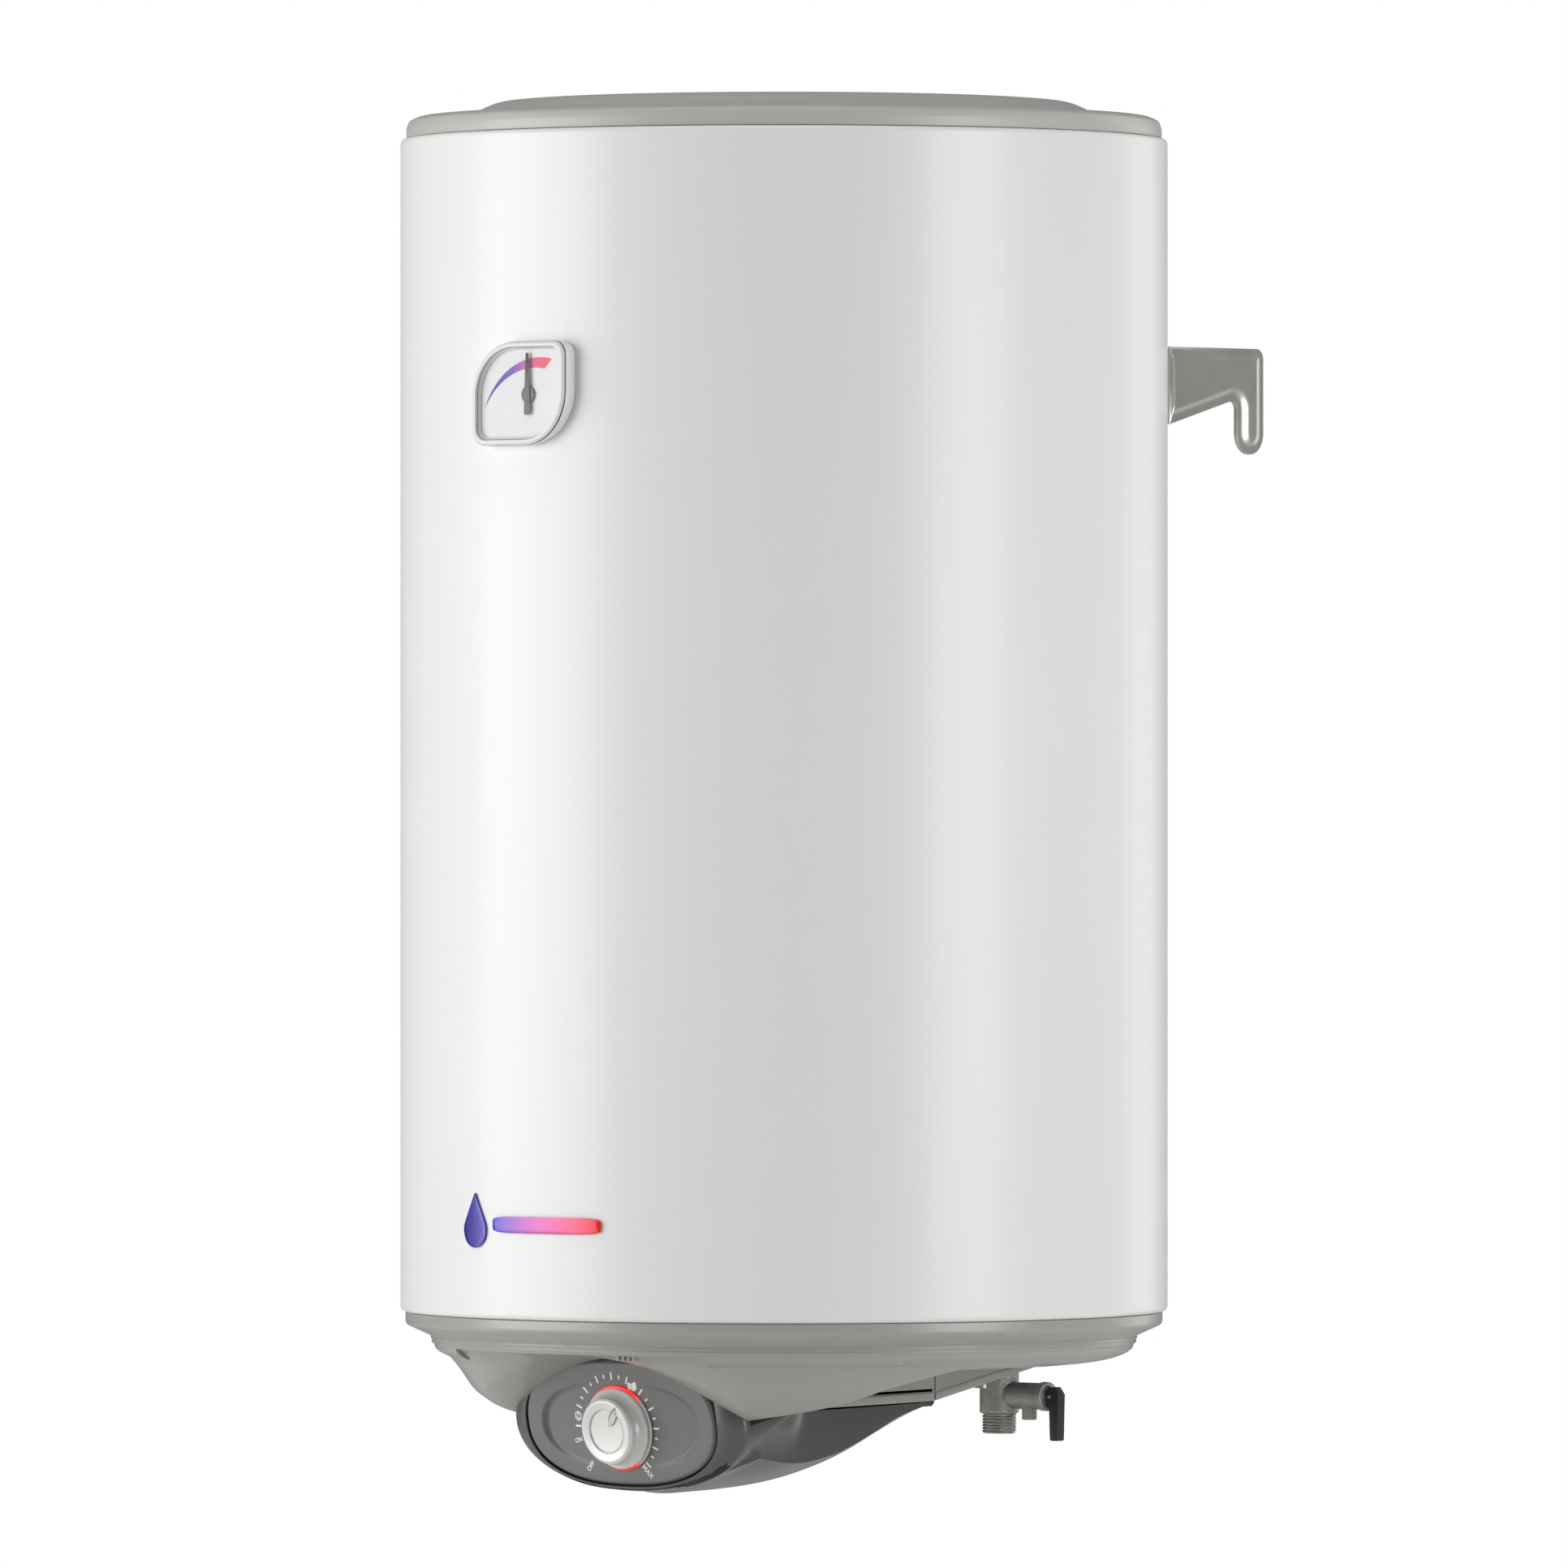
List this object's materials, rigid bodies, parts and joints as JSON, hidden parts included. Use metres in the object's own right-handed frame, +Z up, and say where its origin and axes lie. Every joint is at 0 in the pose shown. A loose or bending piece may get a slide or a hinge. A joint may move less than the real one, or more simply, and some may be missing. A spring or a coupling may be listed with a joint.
{
  "type": "tank water heater",
  "caption": "Wall-hung vertical electric storage water heater: round jacket, control pod with knob, gauge, hook bracket, relief valve.",
  "frame": {"origin": "on the wall, midway between the two hook arms, at the height of the hook seats", "axes": "+Z up, +Y into the wall, +X to the right seen from the front"},
  "size_m": [0.46, 0.4875, 0.8298],
  "materials": {
    "white_enamel": "glossy stove enamel on sheet steel",
    "light_grey": "satin moulded plastic",
    "mid_grey": "satin moulded plastic",
    "dark_shell": "satin moulded plastic",
    "fascia_grey": "fine-grained plastic with printed scale",
    "pearl": "pearl lacquer on plastic",
    "red_light": "lit translucent red",
    "bezel": "glossy moulded plastic",
    "dial": "printed plastic",
    "needle": "dark metallic lacquer",
    "clear": "clear",
    "zinc": "zinc-plated sheet",
    "steel": "plated",
    "nickel": "nickel-plated casting, grainy",
    "copper": "bright copper",
    "enamel": "vitreous enamel",
    "foam": "rigid polyurethane foam",
    "rubber": "moulded",
    "black": "moulded",
    "blue": "moulded",
    "red": "moulded",
    "circuit": "solder-masked board",
    "magnesium": "bare cast"
  },
  "bodies": {
    "heater": {"jacket": "white_enamel", "top_cap": "light_grey", "bottom_cap": "mid_grey", "lower_cover": "mid_grey", "control_pod": "dark_shell", "fascia": "fascia_grey", "light_ring": "red_light", "thermostat_body": "black", "indicator_board": "circuit", "gauge_bezel": "bezel", "gauge_dial": "dial", "gauge_hub": "needle", "gauge_lens": "clear", "gauge_bulb": "copper", "badge_drop": "blue", "badge_bar": "red", "inner_tank": "enamel", "insulation": "foam", "flange_gasket": "rubber", "flange_plate": "steel", "flange_bolt_1": "steel", "flange_bolt_2": "steel", "flange_bolt_3": "steel", "flange_bolt_4": "steel", "flange_bolt_5": "steel", "heating_element": "copper", "anode_rod": "magnesium", "anode_nut": "steel", "sensor_pocket": "copper", "thermal_cutout": "black", "terminal_block": "dial", "hot_nipple": "steel", "hot_standpipe": "steel", "cold_nipple": "steel", "cold_diffuser": "dial", "hot_ring": "red", "cold_ring": "blue", "cable_gland": "black", "cover_screw_left": "steel", "cover_screw_right": "steel", "hanger_strap": "zinc", "hook_arm_left": "zinc", "hook_arm_right": "zinc", "hanger_bolt_left": "steel", "hanger_bolt_right": "steel", "valve_body": "nickel", "valve_bonnet": "nickel", "valve_spring": "steel"},
    "knob": {"knob": "pearl", "knob_pointer": "pearl", "thermostat_shaft": "steel"},
    "needle": {"gauge_needle": "needle"},
    "relief_stem": {"valve_stem": "steel", "lever_pin": "steel"},
    "relief_lever": {"valve_lever": "black"},
    "reset": {"reset_button": "red"},
    "poppet": {"nonreturn_poppet": "black"}
  },
  "joints": [
    {"name": "knob_turn", "type": "hinge", "parent": "heater", "child": "knob", "pos_m": [0, -0.3966, -0.6118], "axis": [0, -0.9863, -0.165], "range_deg": [-101.25, 168.75]},
    {"name": "needle_swing", "type": "hinge", "parent": "heater", "child": "needle", "pos_m": [0.0057, -0.4875, -0.0008], "axis": [0, -1, 0], "range_deg": [-40, 102], "stiffness_Nm_per_rad": 0.002},
    {"name": "stem_slide", "type": "slide", "parent": "heater", "child": "relief_stem", "axis": [1, 0, 0], "range_m": [0, 0.0035], "stiffness_N_per_m": 100, "deforming": ["valve_spring"]},
    {"name": "lever_lift", "type": "hinge", "parent": "relief_stem", "child": "relief_lever", "pos_m": [0.092, -0.11, -0.5996], "axis": [0, -1, 0], "range_deg": [0, 85]},
    {"name": "reset_press", "type": "slide", "parent": "heater", "child": "reset", "axis": [0, 0, 1], "range_m": [0, 0.0015], "stiffness_N_per_m": 300, "springref_m": -0.001},
    {"name": "poppet_lift", "type": "slide", "parent": "heater", "child": "poppet", "axis": [0, 0, 1], "range_m": [0, 0.003], "stiffness_N_per_m": 50, "springref_m": -0.002}
  ],
  "couplings": [
    {"joint": "lever_lift", "follows": "stem_slide", "rad_per_m": 423.87}
  ]
}
